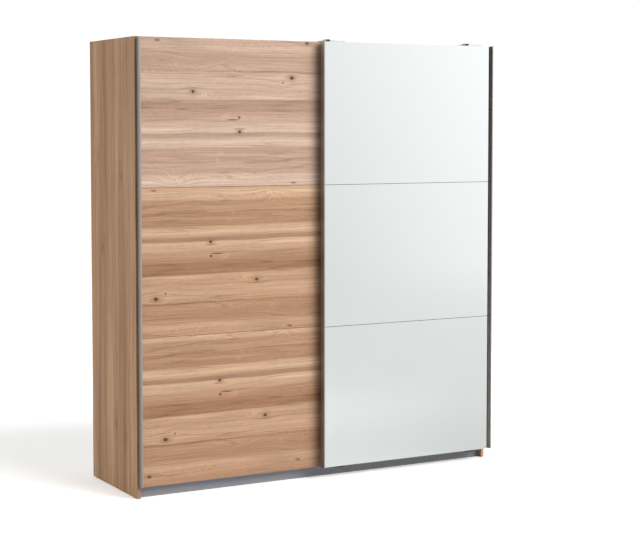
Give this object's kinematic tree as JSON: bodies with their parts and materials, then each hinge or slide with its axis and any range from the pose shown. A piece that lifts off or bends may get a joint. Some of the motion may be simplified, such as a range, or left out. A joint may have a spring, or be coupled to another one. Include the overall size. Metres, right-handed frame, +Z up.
{
  "type": "sliding door wardrobe",
  "caption": "Free-standing wardrobe with overlapping sliding doors, one in horizontal-grain oak decor and one mirrored, on a recessed plinth, with shelves and hanging rails inside.",
  "frame": {"origin": "on the floor under the centre of the whole wardrobe's box", "axes": "+Z up, doors facing -Y, +X to the right as seen from the front"},
  "size_m": [1.796, 0.5954, 1.98],
  "materials": {
    "side_oak": "vertical-grain oak decor foil, matt",
    "door_oak": "horizontal-grain knotty oak decor foil, matt",
    "plinth_grey": "plain warm grey decor foil, matt",
    "board_back": "unfinished pale chipboard backing",
    "back_linen": "pale linen-look thin fibreboard",
    "dowel_beech": "raw beech",
    "mirror_silver": "silvered float glass",
    "aluminium_profile": "satin anodised aluminium",
    "zinc_steel": "bright zinc-plated steel",
    "chrome_tube": "polished chrome plate",
    "zinc_cast": "die-cast zinc, bright",
    "black_plastic": "black moulded plastic",
    "white_plastic": "white moulded nylon",
    "brown_strip": "orange-brown plastic strip",
    "grey_strip": "dark grey plastic strip"
  },
  "bodies": {
    "carcass": {"back_joining_strips": "white_plastic", "back_nails": "zinc_steel", "back_panel_1": "back_linen", "back_panel_2": "back_linen", "back_panel_3": "back_linen", "back_panel_4": "back_linen", "bottom_guide_rail": "aluminium_profile", "bottom_panel": "side_oak", "cam_bolts": "zinc_steel", "cam_locks": "zinc_cast", "carcass_screws": "zinc_steel", "centre_partition": "side_oak", "dowels": "dowel_beech", "foot_glides": "black_plastic", "front_plinth": "plinth_grey", "hanging_rail_cups": "white_plastic", "left_hanging_rail": "chrome_tube", "left_shelf": "side_oak", "left_side_panel": "side_oak", "rear_plinth": "plinth_grey", "right_hanging_rail": "chrome_tube", "right_shelf": "side_oak", "right_side_panel": "side_oak", "shelf_pins": "zinc_steel", "top_panel": "side_oak", "top_running_rail": "aluminium_profile", "track_stops": "black_plastic", "wall_brackets": "zinc_steel"},
    "left_door": {"left_door_axles": "zinc_steel", "left_door_bottom_panel": "door_oak", "left_door_guides": "black_plastic", "left_door_hangers": "zinc_steel", "left_door_joining_strips": "brown_strip", "left_door_left_handle_profile": "aluminium_profile", "left_door_middle_panel": "door_oak", "left_door_right_edge_profile": "aluminium_profile", "left_door_screws": "zinc_steel", "left_door_top_panel": "door_oak"},
    "right_door": {"right_door_axles": "zinc_steel", "right_door_bottom_backing": "board_back", "right_door_bottom_mirror": "mirror_silver", "right_door_guides": "black_plastic", "right_door_hangers": "zinc_steel", "right_door_joining_strips": "grey_strip", "right_door_left_handle_profile": "aluminium_profile", "right_door_middle_backing": "board_back", "right_door_middle_mirror": "mirror_silver", "right_door_right_handle_profile": "aluminium_profile", "right_door_safety_blocks": "black_plastic", "right_door_screws": "zinc_steel", "right_door_top_backing": "board_back", "right_door_top_mirror": "mirror_silver"},
    "left_door_roller_1": {"left_door_roller_1": "white_plastic"},
    "left_door_roller_2": {"left_door_roller_2": "white_plastic"},
    "left_door_roller_3": {"left_door_roller_3": "white_plastic"},
    "left_door_roller_4": {"left_door_roller_4": "white_plastic"},
    "right_door_roller_1": {"right_door_roller_1": "white_plastic"},
    "right_door_roller_2": {"right_door_roller_2": "white_plastic"},
    "right_door_roller_3": {"right_door_roller_3": "white_plastic"},
    "right_door_roller_4": {"right_door_roller_4": "white_plastic"}
  },
  "joints": [
    {"name": "left_door_slide", "type": "slide", "parent": "carcass", "child": "left_door", "axis": [1, 0, 0], "range_m": [0, 0.85]},
    {"name": "right_door_slide", "type": "slide", "parent": "carcass", "child": "right_door", "axis": [1, 0, 0], "range_m": [-0.85, 0]},
    {"name": "left_door_roller_1_spin", "type": "hinge", "parent": "left_door", "child": "left_door_roller_1", "pos_m": [-0.846, -0.21425, 1.9433], "axis": [0, 1, 0], "continuous": true},
    {"name": "left_door_roller_2_spin", "type": "hinge", "parent": "left_door", "child": "left_door_roller_2", "pos_m": [-0.782, -0.21425, 1.9433], "axis": [0, 1, 0], "continuous": true},
    {"name": "left_door_roller_3_spin", "type": "hinge", "parent": "left_door", "child": "left_door_roller_3", "pos_m": [-0.1, -0.21425, 1.9433], "axis": [0, 1, 0], "continuous": true},
    {"name": "left_door_roller_4_spin", "type": "hinge", "parent": "left_door", "child": "left_door_roller_4", "pos_m": [-0.036, -0.21425, 1.9433], "axis": [0, 1, 0], "continuous": true},
    {"name": "right_door_roller_1_spin", "type": "hinge", "parent": "right_door", "child": "right_door_roller_1", "pos_m": [0.02, -0.19225, 1.9433], "axis": [0, 1, 0], "continuous": true},
    {"name": "right_door_roller_2_spin", "type": "hinge", "parent": "right_door", "child": "right_door_roller_2", "pos_m": [0.084, -0.19225, 1.9433], "axis": [0, 1, 0], "continuous": true},
    {"name": "right_door_roller_3_spin", "type": "hinge", "parent": "right_door", "child": "right_door_roller_3", "pos_m": [0.766, -0.19225, 1.9433], "axis": [0, 1, 0], "continuous": true},
    {"name": "right_door_roller_4_spin", "type": "hinge", "parent": "right_door", "child": "right_door_roller_4", "pos_m": [0.83, -0.19225, 1.9433], "axis": [0, 1, 0], "continuous": true}
  ],
  "couplings": [
    {"joint": "left_door_roller_1_spin", "follows": "left_door_slide", "rad_per_m": 90.909},
    {"joint": "left_door_roller_2_spin", "follows": "left_door_slide", "rad_per_m": 90.909},
    {"joint": "left_door_roller_3_spin", "follows": "left_door_slide", "rad_per_m": 90.909},
    {"joint": "left_door_roller_4_spin", "follows": "left_door_slide", "rad_per_m": 90.909},
    {"joint": "right_door_roller_1_spin", "follows": "right_door_slide", "rad_per_m": 90.909},
    {"joint": "right_door_roller_2_spin", "follows": "right_door_slide", "rad_per_m": 90.909},
    {"joint": "right_door_roller_3_spin", "follows": "right_door_slide", "rad_per_m": 90.909},
    {"joint": "right_door_roller_4_spin", "follows": "right_door_slide", "rad_per_m": 90.909}
  ]
}
